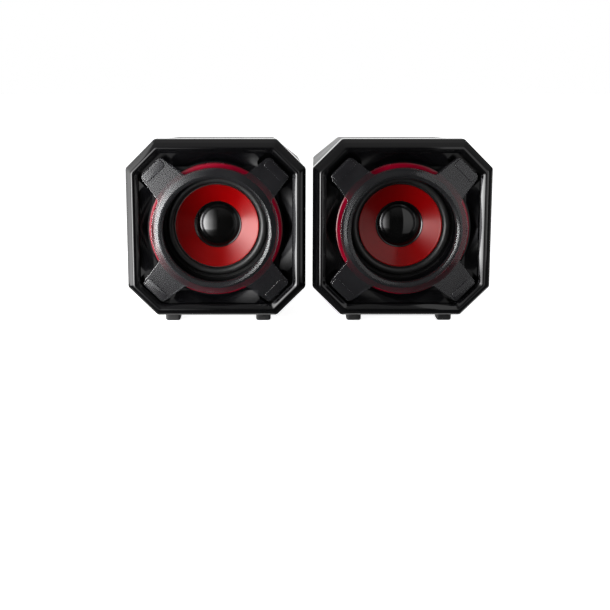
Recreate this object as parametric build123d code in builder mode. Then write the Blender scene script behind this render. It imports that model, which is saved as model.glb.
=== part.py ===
from build123d import *
from math import cos, radians, sin, sqrt
import os

# A pair of small octagonal desktop loudspeakers, in millimetres.
# +X is to the right, the fronts face -Y, +Z is up and the feet stand on z = 0.
# "Depth" is measured backwards (+Y) from the parting plane, where each front bezel is widest.

# --- driving dimensions ---------------------------------------------------------------------

FRONT_SIZE = 86.0
CORNER_LEG = 14.0
CABINET_GAP = 3.3
FOOT_HEIGHT = 5.0
BEZEL_CLEARANCE = 4.4
COVER_REACH = 9.5
KNOB_REACH = 85.6

HALF = FRONT_SIZE / 2
CENTRE_Z = BEZEL_CLEARANCE + HALF
CENTRE_X = HALF + CABINET_GAP / 2
PARTING_Y = -(KNOB_REACH - COVER_REACH) / 2

# Bezel: outer facet, crest, inner facet, opening.
OUTLINE_ROUND = 1.8
CREST_INSET = 3.6
CREST_WIDTH = 0.5
CREST_DEPTH = -5.8
OPENING_INSET = 6.5
OPENING_DEPTH = -3.9
POCKET_INSET = 2.6
POCKET_DEPTH = -1.0
BEZEL_BACK = 4.5

# Baffle.
BAFFLE_INSET = 3.2
BAFFLE_FRONT = -2.6
BAFFLE_BACK = 6.0
BOSS_R = 32.6
BOSS_DEPTH = -1.8
WELL_R = 25.8
POCKET_START = 35.6
POCKET_END = 45.0
POCKET_HALF_WIDTH = 9.2
POCKET_FLOOR = 2.4
SCOOP_HALF_WIDTH = 24.0
SCOOP_INNER = 30.0
SCOOP_INNER_DEPTH = 4.2
SCOOP_OUTER = 37.5
SCOOP_OUTER_DEPTH = -1.6
SCOOP_RIM_DEPTH = -3.2
POCKET_ROUND = 3.0
COVER_SCREW_HOLE_R = 1.1
DRIVER_SCREW_HOLE_R = 1.2
DRIVER_SCREW_HOLE_DEPTH = 4.6
OPENING_FIT = 0.1

# Accent ring.
ACCENT_INNER_R = 28.9
ACCENT_OUTER_R = 31.9
ACCENT_DEPTH = -3.0
ACCENT_CHAMFER = 0.4

# Smoked cover: ring and four arms on the diagonals.
COVER_INNER_R = 24.9
COVER_FLAT_R = 26.7
COVER_OUTER_R = 30.1
COVER_THICKNESS = 2.4
COVER_RIM_DEPTH = -8.2
ARM_ROOT = 28.0
ARM_END = 43.0
ARM_ROOT_HALF = 8.9
ARM_END_HALF = 6.8
ARM_END_DEPTH = -6.4
PAD_LENGTH = 12.2
PAD_WIDTH = 4.4
PAD_PLACE = 40.5
PAD_RISE = 0.4
PAD_ROUND = 1.4
ARM_END_ROUND = 1.6
ARM_SINK = 0.05
COVER_SCREW_PILOT_R = 0.95
COVER_SCREW_PILOT_DEPTH = 6.0
SKIRT_WIDTH = 1.3
SKIRT_DEPTH = 1.6

# Cabinet shell.
SHELL_STEP = 0.6
SHELL_BACK = 76.5
SHELL_WALL = 2.4
REAR_HALF = 40.4
REAR_TOP = 37.6
REAR_LEG_X = 13.8
REAR_LEG_Z = 11.2
POST_R = 3.8
POST_X = 34.8
POST_UPPER_Z = 18.0
POST_LOWER_Z = -24.0
POST_FRONT = 62.0
POST_PILOT_R = 1.25

# Rear panel and what it carries.
PANEL_FRONT = 73.7
PANEL_BACK = 75.9
PORT_Z = 15.0
PORT_BORE_R = 8.0
PORT_TUBE_R = 9.4
PORT_FRONT = 44.0
GLAND_Z = -27.0
GLAND_X = 18.0
GLAND_BORE_R = 1.9
GLAND_COLLAR = 1.6
GLAND_INNER_R = 4.4
GLAND_NECK_R = 3.4
GLAND_OUTER_R = 4.6
KNOB_Z = -11.0
PANEL_FIT = 0.1
PANEL_SCREW_HOLE_R = 1.7
BUSH_HOLE_R = 3.6

# Feet.
FOOT_X = 22.3
FOOT_FRONT = 8.6
FOOT_REAR = 64.0
FOOT_WIDTH = 7.2
FOOT_ROUND = 1.2
FOOT_CHAMFER = 0.5

# Driver, along its own axis.
FLANGE_SIZE = 57.0
FLANGE_ROUND = 6.0
FLANGE_SCREW = 24.0
GASKET_THICKNESS = 0.8
FLANGE_THICKNESS = 1.0
FLANGE_FRONT = BAFFLE_BACK + GASKET_THICKNESS
FLANGE_BACK = FLANGE_FRONT + FLANGE_THICKNESS
FLANGE_HOLE_R = 24.4
ROLL_R = 1.9
ROLL_CENTRE_R = 22.7
ROLL_SKIN = 0.45
LIP_DEPTH = FLANGE_FRONT - ROLL_SKIN
CONE_R = 20.4
CONE_FRONT = 5.8
CONE_SKIN = 0.5
NECK_R = 10.15
NECK_DEPTH = 11.1
CAP_R = 11.2
CAP_RIM_R = 11.9
CAP_HEIGHT = 6.0
CAP_SKIN = 0.4
FORMER_R = 10.1
FORMER_SKIN = 0.2
FORMER_BACK = 21.5
COIL_R = 10.6
SPIDER_DEPTH = 13.6
SPIDER_R = 18.6
TOP_PLATE_FRONT = 17.0
MAGNET_FRONT = 19.5
MAGNET_BACK = 28.5
YOKE_BACK = 31.5
MAGNET_R = 20.0
BASKET_FOOT_R = 20.4

SHELF_DEPTH = 14.2
SHELF_BACK = 16.0
SHELF_INNER_R = 17.2
SHELF_OUTER_R = 19.4
BASKET_BORE_R = 11.6
COIL_FRONT = 16.2
COIL_BACK = 21.0
TAG_X = 3.5
TAG_DEPTH = 16.2

# Amplifier board and volume control of the right loudspeaker.
BOARD_FRONT = 60.5
BOARD_BACK = 62.1
BUSH_R = 3.4
SHAFT_R = 3.0
SHAFT_PLAY = 0.05
SHAFT_END = 83.6
POT_BACK = 70.5
BUSH_BACK = 78.4
SHAFT_SOCKET = 1.5
KNOB_FRONT = 76.5
KNOB_R = 9.0
KNOB_BORE_R = 6.6
KNOB_WEB = 79.0
KNOB_FLUTES = 30


# --- planes and outlines --------------------------------------------------------------------

def front_plane(centre_x, depth):
    """Plane across the loudspeaker's axis: local x is +X, local y is +Z, and it faces the front."""
    origin = (centre_x, PARTING_Y + depth, CENTRE_Z)
    return Plane(origin=origin, x_dir=(1, 0, 0), z_dir=(0, -1, 0))


def section_plane(centre_x):
    """Plane through the axis: local x is the radius and local y is the depth."""
    return Plane(origin=(centre_x, PARTING_Y, CENTRE_Z), x_dir=(1, 0, 0), z_dir=(0, 0, 1))


def driver_axis(centre_x, x=0.0, z=0.0):
    return Axis((centre_x + x, PARTING_Y, CENTRE_Z + z), (0, 1, 0))


def octagon(half, top, bottom, leg_x, leg_z, rounding):
    """Octagonal face with flat sides, drawn in the open sketch."""
    corners = [
        (-half + leg_x, top), (half - leg_x, top),
        (half, top - leg_z), (half, bottom + leg_z),
        (half - leg_x, bottom), (-half + leg_x, bottom),
        (-half, bottom + leg_z), (-half, top - leg_z),
    ]
    Polygon(*corners, align=None)
    fillet(vertices(), rounding)


def front_octagon(inset, rounding=0.6):
    """The bezel's outline moved inwards by the same distance on all eight sides."""
    half = HALF - inset
    leg = CORNER_LEG - inset * (2 - sqrt(2))
    octagon(half, half, -half, leg, leg, rounding)


def rear_octagon(inset, rounding=0.6):
    """The cabinet's smaller rear outline; its underside stays level."""
    shrink = inset * (2 - sqrt(2))
    bottom = -HALF + SHELL_STEP + inset
    octagon(REAR_HALF - inset, REAR_TOP - inset, bottom, REAR_LEG_X - shrink, REAR_LEG_Z - shrink, rounding)


def ring_face(points):
    """Closed profile from (radius, depth) points, in the open sketch."""
    Polygon(*points, align=None)


def write(piece, name):
    piece.part.label = name
    export_step(piece.part, f"parts/{name}.step")


# --- front pieces ---------------------------------------------------------------------------

def make_bezel(side, centre_x):
    crest_inner = CREST_INSET + CREST_WIDTH
    with BuildPart() as bezel:
        with BuildSketch(front_plane(centre_x, 0)):
            front_octagon(0, OUTLINE_ROUND)
        with BuildSketch(front_plane(centre_x, CREST_DEPTH)):
            front_octagon(CREST_INSET, OUTLINE_ROUND)
        loft(ruled=True)
        with BuildSketch(front_plane(centre_x, 0)):
            front_octagon(0, OUTLINE_ROUND)
        extrude(amount=-BEZEL_BACK)
        # inner facet, leaning back towards the opening
        with BuildSketch(front_plane(centre_x, CREST_DEPTH)):
            front_octagon(crest_inner)
        with BuildSketch(front_plane(centre_x, OPENING_DEPTH)):
            front_octagon(OPENING_INSET)
        loft(ruled=True, mode=Mode.SUBTRACT)
        with BuildSketch(front_plane(centre_x, OPENING_DEPTH)):
            front_octagon(OPENING_INSET)
        extrude(amount=OPENING_DEPTH - BEZEL_BACK, mode=Mode.SUBTRACT)
        # pocket for the baffle's rim
        with BuildSketch(front_plane(centre_x, POCKET_DEPTH)):
            front_octagon(POCKET_INSET)
        extrude(amount=POCKET_DEPTH - BEZEL_BACK, mode=Mode.SUBTRACT)
    write(bezel, f"{side}_front_bezel")


def make_scoop_tool():
    """Valley between two arms: deepest beside the ring at mid height, rising to the bezel and the arms."""
    with BuildPart() as tool:
        for x, depth in ((SCOOP_INNER, SCOOP_INNER_DEPTH), (SCOOP_OUTER, SCOOP_OUTER_DEPTH)):
            with BuildSketch(Plane(origin=(x, 0, 0), x_dir=(0, 1, 0), z_dir=(1, 0, 0))):
                with BuildLine():
                    Polyline(
                        (-SCOOP_HALF_WIDTH, -SCOOP_RIM_DEPTH), (0, -depth),
                        (SCOOP_HALF_WIDTH, -SCOOP_RIM_DEPTH), close=True,
                    )
                make_face()
        loft(ruled=True)
    return tool.part


def make_baffle(side, centre_x, scoop):
    place = Location(front_plane(centre_x, 0))
    with BuildPart() as baffle:
        with BuildSketch(front_plane(centre_x, POCKET_DEPTH)):
            front_octagon(BAFFLE_INSET)
        extrude(amount=POCKET_DEPTH - BAFFLE_BACK)
        with BuildSketch(front_plane(centre_x, POCKET_DEPTH)):
            front_octagon(OPENING_INSET + OPENING_FIT)
        extrude(amount=POCKET_DEPTH - BAFFLE_FRONT)
        for quarter in range(4):
            add(scoop.rotate(Axis.Z, 90 * quarter).moved(place), mode=Mode.SUBTRACT)
        with BuildSketch(front_plane(centre_x, BAFFLE_BACK)):
            Circle(BOSS_R)
        extrude(amount=BAFFLE_BACK - BOSS_DEPTH)
        with BuildSketch(front_plane(centre_x, BOSS_DEPTH)):
            Circle(BOSS_R)
        extrude(amount=BOSS_DEPTH - BAFFLE_FRONT, mode=Mode.SUBTRACT)
        with BuildSketch(front_plane(centre_x, BAFFLE_BACK)):
            Circle(WELL_R)
        extrude(amount=BAFFLE_BACK - BAFFLE_FRONT, mode=Mode.SUBTRACT)
        # pockets that the cover's arms stand in
        with BuildSketch(front_plane(centre_x, POCKET_FLOOR)):
            with PolarLocations((POCKET_START + POCKET_END) / 2, 4, start_angle=45):
                RectangleRounded(POCKET_END - POCKET_START, 2 * POCKET_HALF_WIDTH, POCKET_ROUND)
        extrude(amount=POCKET_FLOOR - BAFFLE_FRONT, mode=Mode.SUBTRACT)
        with BuildSketch(front_plane(centre_x, BAFFLE_BACK)):
            with PolarLocations(PAD_PLACE, 4, start_angle=45):
                Circle(COVER_SCREW_HOLE_R)
        extrude(amount=BAFFLE_BACK - POCKET_FLOOR, mode=Mode.SUBTRACT)
        with BuildSketch(front_plane(centre_x, BAFFLE_BACK)):
            with GridLocations(2 * FLANGE_SCREW, 2 * FLANGE_SCREW, 2, 2):
                Circle(DRIVER_SCREW_HOLE_R)
        extrude(amount=DRIVER_SCREW_HOLE_DEPTH, mode=Mode.SUBTRACT)
    write(baffle, f"{side}_baffle")


def make_accent_ring(side, centre_x):
    with BuildPart() as ring:
        with BuildSketch(section_plane(centre_x)):
            ring_face([
                (ACCENT_INNER_R, BOSS_DEPTH), (ACCENT_OUTER_R, BOSS_DEPTH),
                (ACCENT_OUTER_R, ACCENT_DEPTH + ACCENT_CHAMFER),
                (ACCENT_OUTER_R - ACCENT_CHAMFER, ACCENT_DEPTH),
                (ACCENT_INNER_R, ACCENT_DEPTH),
            ])
        revolve(axis=driver_axis(centre_x))
    write(ring, f"{side}_accent_ring")


def make_cover_arm():
    """One arm along +X with its front towards +Z; depth is -Z."""
    root_x = ARM_ROOT - 1
    rim_z = -COVER_RIM_DEPTH - ARM_SINK
    end_z = -ARM_END_DEPTH
    slope = (end_z - rim_z) / (ARM_END + 1 - COVER_OUTER_R)
    root_z = rim_z + slope * (root_x - COVER_OUTER_R)
    pad_z = rim_z + slope * (PAD_PLACE - COVER_OUTER_R)
    with BuildPart() as arm:
        with BuildSketch(Plane.XY):
            with BuildLine():
                Polyline(
                    (ARM_ROOT, -ARM_ROOT_HALF), (ARM_END, -ARM_END_HALF),
                    (ARM_END, ARM_END_HALF), (ARM_ROOT, ARM_ROOT_HALF), close=True,
                )
            make_face()
            fillet(vertices().sort_by(Axis.X)[-2:], ARM_END_ROUND)
        extrude(amount=COVER_REACH)
        with BuildSketch(Plane.XZ):
            with BuildLine():
                Polyline(
                    (root_x, root_z), (ARM_END + 1, end_z),
                    (ARM_END + 1, end_z - COVER_THICKNESS),
                    (root_x, root_z - COVER_THICKNESS), close=True,
                )
            make_face()
        extrude(amount=ARM_ROOT_HALF + 1, both=True, mode=Mode.INTERSECT)
        # low pad on the sloping front, and the post behind it
        with BuildSketch(Plane(origin=(PAD_PLACE, 0, pad_z), x_dir=(1, 0, slope), z_dir=(-slope, 0, 1))):
            RectangleRounded(PAD_WIDTH, PAD_LENGTH, PAD_ROUND)
        extrude(amount=PAD_RISE)
        with BuildSketch(Plane.XY.offset(-POCKET_FLOOR)):
            with Locations((PAD_PLACE, 0)):
                RectangleRounded(PAD_WIDTH, PAD_LENGTH, PAD_ROUND)
        extrude(amount=POCKET_FLOOR + end_z - 1)
        with BuildSketch(Plane.XY.offset(-POCKET_FLOOR)):
            with Locations((PAD_PLACE, 0)):
                Circle(COVER_SCREW_PILOT_R)
        extrude(amount=COVER_SCREW_PILOT_DEPTH, mode=Mode.SUBTRACT)
    return arm.part


def make_cover(side, centre_x, arm):
    place = Location(front_plane(centre_x, 0))
    back = -COVER_REACH + COVER_THICKNESS
    with BuildPart() as cover:
        with BuildSketch(section_plane(centre_x)):
            ring_face([
                (COVER_FLAT_R, -COVER_REACH), (COVER_OUTER_R - 0.5, COVER_RIM_DEPTH),
                (COVER_OUTER_R, COVER_RIM_DEPTH + 0.5), (COVER_OUTER_R, back),
                (COVER_INNER_R + SKIRT_WIDTH, back), (COVER_INNER_R + SKIRT_WIDTH, back + SKIRT_DEPTH),
                (COVER_INNER_R, back + SKIRT_DEPTH), (COVER_INNER_R, -COVER_REACH + 1.5),
            ])
        revolve(axis=driver_axis(centre_x))
        for quarter in range(4):
            add(arm.rotate(Axis.Z, 45 + 90 * quarter).moved(place))
        with BuildSketch(front_plane(centre_x, 0)):
            Circle(COVER_INNER_R)
        extrude(amount=COVER_REACH + 1, mode=Mode.SUBTRACT)
    write(cover, f"{side}_smoked_cover")


def make_screws(name, centre_x, spots, head_depth, shank_end, head_r, shank_r, head_height):
    """Group of pan-head screws driven from the rear; spots are (x, z) from the axis."""
    with BuildPart() as screws:
        with BuildSketch(front_plane(centre_x, head_depth)):
            with Locations(*spots):
                Circle(head_r)
        extrude(amount=-head_height)
        with BuildSketch(front_plane(centre_x, head_depth)):
            with Locations(*spots):
                Circle(shank_r)
        extrude(amount=head_depth - shank_end)
        with BuildSketch(front_plane(centre_x, head_depth + head_height)):
            with Locations(*spots):
                Rectangle(head_r * 1.2, 0.5)
                Rectangle(0.5, head_r * 1.2)
        extrude(amount=head_height * 0.6, mode=Mode.SUBTRACT)
    write(screws, name)


# --- cabinet --------------------------------------------------------------------------------

def make_shell(side, centre_x):
    with BuildPart() as shell:
        with BuildSketch(front_plane(centre_x, BEZEL_BACK)):
            front_octagon(SHELL_STEP, OUTLINE_ROUND)
        with BuildSketch(front_plane(centre_x, SHELL_BACK)):
            rear_octagon(0, OUTLINE_ROUND)
        loft(ruled=True)
        with BuildSketch(front_plane(centre_x, BEZEL_BACK)):
            front_octagon(SHELL_STEP + SHELL_WALL)
        with BuildSketch(front_plane(centre_x, SHELL_BACK)):
            rear_octagon(SHELL_WALL)
        loft(ruled=True, mode=Mode.SUBTRACT)
        with BuildSketch(front_plane(centre_x, PANEL_FRONT)):
            with Locations(*post_spots()):
                Circle(POST_R)
                Circle(POST_PILOT_R, mode=Mode.SUBTRACT)
        extrude(amount=PANEL_FRONT - POST_FRONT)
    write(shell, f"{side}_cabinet_shell")


def post_spots():
    return [(x, z) for x in (-POST_X, POST_X) for z in (POST_LOWER_Z, POST_UPPER_Z)]


def make_rear_panel(side, centre_x, gland_spots, has_knob):
    with BuildPart() as panel:
        with BuildSketch(front_plane(centre_x, PANEL_BACK)):
            rear_octagon(SHELL_WALL + PANEL_FIT)
        extrude(amount=PANEL_BACK - PANEL_FRONT)
        with BuildSketch(front_plane(centre_x, PANEL_BACK)):
            with Locations(*post_spots()):
                Circle(PANEL_SCREW_HOLE_R)
            with Locations(*gland_spots):
                Circle(GLAND_NECK_R)
            with Locations((0, PORT_Z)):
                Circle(PORT_TUBE_R)
            if has_knob:
                with Locations((0, KNOB_Z)):
                    Circle(BUSH_HOLE_R)
        extrude(amount=PANEL_BACK - PANEL_FRONT, mode=Mode.SUBTRACT)
    write(panel, f"{side}_rear_panel")


def make_feet(side, centre_x):
    with BuildPart() as feet:
        for depth in (FOOT_FRONT, FOOT_REAR):
            for x in (-FOOT_X, FOOT_X):
                with BuildSketch(Plane.XY):
                    with Locations((centre_x + x, PARTING_Y + depth)):
                        RectangleRounded(FOOT_WIDTH, FOOT_WIDTH, FOOT_ROUND)
                extrude(amount=FOOT_HEIGHT)
        chamfer(faces().group_by(Axis.Z)[0].edges(), FOOT_CHAMFER)
    write(feet, f"{side}_feet")


def make_port(side, centre_x):
    with BuildPart() as port:
        plane = section_plane(centre_x)
        plane.origin += Vector(0, 0, PORT_Z)
        with BuildSketch(plane):
            ring_face([
                (PORT_BORE_R, PORT_FRONT), (PORT_TUBE_R, PORT_FRONT),
                (PORT_TUBE_R, PANEL_BACK), (PORT_TUBE_R + 2.1, PANEL_BACK),
                (PORT_TUBE_R + 2.1, PANEL_BACK + 0.7), (PORT_TUBE_R + 1.5, PANEL_BACK + 1.3),
                (PORT_TUBE_R + 0.9, PANEL_BACK + 1.3), (PORT_TUBE_R - 0.2, PANEL_BACK + 0.6),
                (PORT_BORE_R + 0.4, PANEL_BACK - 1.2), (PORT_BORE_R, PANEL_BACK - 3.5),
            ])
        revolve(axis=driver_axis(centre_x, 0, PORT_Z))
    write(port, f"{side}_port_tube")


def make_gland(name, centre_x, x):
    with BuildPart() as gland:
        plane = section_plane(centre_x + x)
        plane.origin += Vector(0, 0, GLAND_Z)
        with BuildSketch(plane):
            ring_face([
                (GLAND_BORE_R, PANEL_FRONT - GLAND_COLLAR), (GLAND_INNER_R, PANEL_FRONT - GLAND_COLLAR),
                (GLAND_INNER_R, PANEL_FRONT), (GLAND_NECK_R, PANEL_FRONT),
                (GLAND_NECK_R, PANEL_BACK), (GLAND_OUTER_R, PANEL_BACK),
                (GLAND_OUTER_R, PANEL_BACK + GLAND_COLLAR / 2),
                (GLAND_OUTER_R - 0.6, PANEL_BACK + GLAND_COLLAR), (GLAND_BORE_R, PANEL_BACK + GLAND_COLLAR),
            ])
        revolve(axis=driver_axis(centre_x + x, 0, GLAND_Z))
    write(gland, name)


# --- driver ---------------------------------------------------------------------------------

def make_flange_sketch(hole_r):
    RectangleRounded(FLANGE_SIZE, FLANGE_SIZE, FLANGE_ROUND)
    Circle(hole_r, mode=Mode.SUBTRACT)
    with GridLocations(2 * FLANGE_SCREW, 2 * FLANGE_SCREW, 2, 2):
        Circle(1.5, mode=Mode.SUBTRACT)


def make_gasket(side, centre_x):
    with BuildPart() as gasket:
        with BuildSketch(front_plane(centre_x, BAFFLE_BACK)):
            make_flange_sketch(WELL_R)
        extrude(amount=-GASKET_THICKNESS)
    write(gasket, f"{side}_driver_gasket")


def make_basket(side, centre_x):
    window_width, window_front, window_back = 25.0, 9.0, 13.6
    with BuildPart() as basket:
        with BuildSketch(front_plane(centre_x, FLANGE_FRONT)):
            make_flange_sketch(FLANGE_HOLE_R)
        extrude(amount=-FLANGE_THICKNESS)
        with BuildSketch(section_plane(centre_x)):
            ring_face([
                (FLANGE_HOLE_R, FLANGE_FRONT), (FLANGE_HOLE_R + 1.4, FLANGE_FRONT),
                (FLANGE_HOLE_R + 1.0, FLANGE_BACK), (BASKET_FOOT_R, SHELF_DEPTH + 0.2),
                (BASKET_FOOT_R, TOP_PLATE_FRONT), (BASKET_BORE_R, TOP_PLATE_FRONT),
                (BASKET_BORE_R, SHELF_BACK), (SHELF_INNER_R, SHELF_BACK), (SHELF_INNER_R, SHELF_DEPTH),
                (SHELF_OUTER_R, SHELF_DEPTH), (FLANGE_HOLE_R, FLANGE_BACK),
            ])
        revolve(axis=driver_axis(centre_x))
        with BuildSketch(front_plane(centre_x, window_back)):
            Rectangle(window_width, 60)
            Rectangle(60, window_width)
            Circle(15, mode=Mode.SUBTRACT)
        extrude(amount=window_back - window_front, mode=Mode.SUBTRACT)
    write(basket, f"{side}_basket")


def make_surround(side, centre_x):
    """Half roll between the cone and the basket, with a flat lip on each side."""
    inner_r = ROLL_R - ROLL_SKIN
    with BuildPart() as surround:
        with BuildSketch(section_plane(centre_x)):
            with BuildLine():
                Polyline(
                    (ROLL_CENTRE_R + inner_r, FLANGE_FRONT), (WELL_R - 0.1, FLANGE_FRONT),
                    (WELL_R - 0.1, LIP_DEPTH), (ROLL_CENTRE_R + ROLL_R, LIP_DEPTH),
                )
                ThreePointArc(
                    (ROLL_CENTRE_R + ROLL_R, LIP_DEPTH), (ROLL_CENTRE_R, LIP_DEPTH - ROLL_R),
                    (ROLL_CENTRE_R - ROLL_R, LIP_DEPTH),
                )
                Polyline(
                    (ROLL_CENTRE_R - ROLL_R, LIP_DEPTH), (CONE_R - 0.8, LIP_DEPTH),
                    (CONE_R - 0.8, FLANGE_FRONT), (ROLL_CENTRE_R - inner_r, FLANGE_FRONT),
                )
                ThreePointArc(
                    (ROLL_CENTRE_R - inner_r, FLANGE_FRONT), (ROLL_CENTRE_R, FLANGE_FRONT - inner_r),
                    (ROLL_CENTRE_R + inner_r, FLANGE_FRONT),
                )
            make_face()
        revolve(axis=driver_axis(centre_x))
    write(surround, f"{side}_surround")


def make_cone(side, centre_x):
    edge_back = CONE_FRONT + CONE_SKIN
    with BuildPart() as cone:
        with BuildSketch(section_plane(centre_x)):
            ring_face([
                (CONE_R, CONE_FRONT), (CONE_R, edge_back), (CONE_R - 1.0, edge_back),
                (NECK_R + 1.2, NECK_DEPTH + 0.1), (NECK_R, NECK_DEPTH + 1.4),
                (NECK_R - 0.05, NECK_DEPTH + 1.4), (NECK_R - 0.05, NECK_DEPTH),
                (CONE_R - 0.7, CONE_FRONT + 0.1),
            ])
        revolve(axis=driver_axis(centre_x))
    write(cone, f"{side}_cone")


def cone_face_depth(radius):
    """Depth of the cone's front face at a radius."""
    slope = (NECK_DEPTH - CONE_FRONT - 0.1) / (CONE_R - 0.7 - NECK_R + 0.05)
    return CONE_FRONT + 0.1 + slope * (CONE_R - 0.7 - radius)


def make_dust_cap(side, centre_x):
    base = cone_face_depth(CAP_R) - 0.35
    rim_base = cone_face_depth(CAP_RIM_R)
    sphere_r = (CAP_R ** 2 + CAP_HEIGHT ** 2) / (2 * CAP_HEIGHT)
    centre = base - CAP_HEIGHT + sphere_r
    inner_r = sphere_r - CAP_SKIN
    inner_base_r = sqrt(inner_r ** 2 - (centre - base) ** 2)
    half_angle = radians(28)
    with BuildPart() as cap:
        with BuildSketch(section_plane(centre_x)):
            with BuildLine():
                ThreePointArc(
                    (0, base - CAP_HEIGHT),
                    (sphere_r * sin(half_angle), centre - sphere_r * cos(half_angle)),
                    (CAP_R, base),
                )
                Polyline((CAP_R, base), (CAP_RIM_R, rim_base - 0.25), (CAP_RIM_R, rim_base - 0.02))
                Polyline((CAP_RIM_R, rim_base - 0.02), (inner_base_r, base + 0.35), (inner_base_r, base))
                ThreePointArc(
                    (inner_base_r, base),
                    (inner_r * sin(half_angle), centre - inner_r * cos(half_angle)),
                    (0, base - CAP_HEIGHT + CAP_SKIN),
                )
                Line((0, base - CAP_HEIGHT + CAP_SKIN), (0, base - CAP_HEIGHT))
            make_face()
        revolve(axis=driver_axis(centre_x))
    write(cap, f"{side}_dust_cap")


def make_former(side, centre_x):
    with BuildPart() as former:
        with BuildSketch(section_plane(centre_x)):
            ring_face([
                (FORMER_R - FORMER_SKIN, NECK_DEPTH - 0.3), (FORMER_R, NECK_DEPTH - 0.3),
                (FORMER_R, FORMER_BACK), (FORMER_R - FORMER_SKIN, FORMER_BACK),
            ])
        revolve(axis=driver_axis(centre_x))
    write(former, f"{side}_coil_former")


def make_coil(side, centre_x):
    with BuildPart() as coil:
        with BuildSketch(section_plane(centre_x)):
            ring_face([
                (FORMER_R, COIL_FRONT), (COIL_R, COIL_FRONT), (COIL_R, COIL_BACK), (FORMER_R, COIL_BACK),
            ])
        revolve(axis=driver_axis(centre_x))
    write(coil, f"{side}_voice_coil")


def make_spider(side, centre_x):
    """Corrugated disc: zig-zag rings between the former and the basket's shelf."""
    waves, skin, height = 5, 0.3, 0.5
    inner = FORMER_R + 0.05
    pitch = (SPIDER_R - 1.4 - inner) / (2 * waves)
    front = [(inner, SPIDER_DEPTH)]
    for step in range(1, 2 * waves):
        front.append((inner + step * pitch, SPIDER_DEPTH + (-height if step % 2 else height)))
    front += [(SPIDER_R - 1.4, SPIDER_DEPTH + 0.3), (SPIDER_R, SPIDER_DEPTH + 0.3)]
    back = [(radius, depth + skin) for radius, depth in reversed(front)]
    with BuildPart() as spider:
        with BuildSketch(section_plane(centre_x)):
            ring_face(front + back)
        revolve(axis=driver_axis(centre_x))
    write(spider, f"{side}_spider")


def make_motor(side, centre_x):
    with BuildPart() as top_plate:
        with BuildSketch(section_plane(centre_x)):
            ring_face([
                (11.1, TOP_PLATE_FRONT), (18.2, TOP_PLATE_FRONT), (18.2, MAGNET_FRONT), (11.1, MAGNET_FRONT),
            ])
        revolve(axis=driver_axis(centre_x))
    write(top_plate, f"{side}_top_plate")
    with BuildPart() as magnet:
        with BuildSketch(section_plane(centre_x)):
            ring_face([
                (12.6, MAGNET_FRONT), (MAGNET_R - 0.6, MAGNET_FRONT), (MAGNET_R, MAGNET_FRONT + 0.6),
                (MAGNET_R, MAGNET_BACK - 0.6), (MAGNET_R - 0.6, MAGNET_BACK), (12.6, MAGNET_BACK),
            ])
        revolve(axis=driver_axis(centre_x))
    write(magnet, f"{side}_magnet")
    with BuildPart() as yoke:
        with BuildSketch(section_plane(centre_x)):
            ring_face([
                (2.5, TOP_PLATE_FRONT), (9.2, TOP_PLATE_FRONT), (9.2, MAGNET_BACK), (18.4, MAGNET_BACK),
                (18.4, YOKE_BACK - 0.8), (17.6, YOKE_BACK), (2.5, YOKE_BACK),
            ])
        revolve(axis=driver_axis(centre_x))
    write(yoke, f"{side}_yoke")


def make_terminals(side, centre_x):
    board_bottom, board_top = BASKET_FOOT_R + 0.1, 27.0
    with BuildPart() as strip:
        with BuildSketch(front_plane(centre_x, TAG_DEPTH - 1.0)):
            with Locations((0, (board_bottom + board_top) / 2)):
                RectangleRounded(12, board_top - board_bottom, 0.8)
        extrude(amount=-1.0)
        with BuildSketch(front_plane(centre_x, TAG_DEPTH)):
            with Locations((-TAG_X, 25.5), (TAG_X, 25.5)):
                Rectangle(2.2, 5.0)
        extrude(amount=-0.4)
    write(strip, f"{side}_terminal_strip")


def make_wires(side, centre_x, way):
    """Two insulated leads from the solder tags to where they end, given as (x, z, depth) points."""
    wire_r = 0.7
    with BuildPart() as wires:
        for lead in (-1, 1):
            start = (lead * TAG_X, 26.0, TAG_DEPTH + 0.45)
            route = [start, (lead * TAG_X, 26.0, 24.0)] + [(x + 1.0 * lead, z, d) for x, z, d in way]
            points = [(centre_x + x, PARTING_Y + d, CENTRE_Z + z) for x, z, d in route]
            with BuildLine() as path:
                FilletPolyline(*points, radius=3.0)
            with BuildSketch(Plane(origin=path.line @ 0, z_dir=path.line % 0)):
                Circle(wire_r)
            sweep(path=path.line)
    write(wires, f"{side}_speaker_wires")


# --- amplifier and volume control of the right loudspeaker ------------------------------------

def make_board(centre_x):
    with BuildPart() as board:
        with BuildSketch(front_plane(centre_x, BOARD_BACK)):
            with Locations((0, -16)):
                RectangleRounded(50, 32, 1.5)
            with Locations((-21.5, -28), (21.5, -28)):
                Circle(1.6, mode=Mode.SUBTRACT)
        extrude(amount=BOARD_BACK - BOARD_FRONT)
    write(board, "right_amp_board")
    with BuildPart() as parts:
        with BuildSketch(front_plane(centre_x, BOARD_FRONT)):
            with Locations((-14, -22), (-3, -22)):
                Circle(4.0)
        extrude(amount=11)
        with BuildSketch(front_plane(centre_x, BOARD_FRONT)):
            with Locations((12, -20)):
                Rectangle(10, 7)
        extrude(amount=2.2)
        with BuildSketch(front_plane(centre_x, BOARD_FRONT)):
            with Locations((-18, -5)):
                Rectangle(8, 4.5)
        extrude(amount=6)
        with BuildSketch(front_plane(centre_x, BOARD_FRONT)):
            with Locations((8, -7), (16, -7)):
                Circle(2.5)
        extrude(amount=7)
    write(parts, "right_board_parts")


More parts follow.
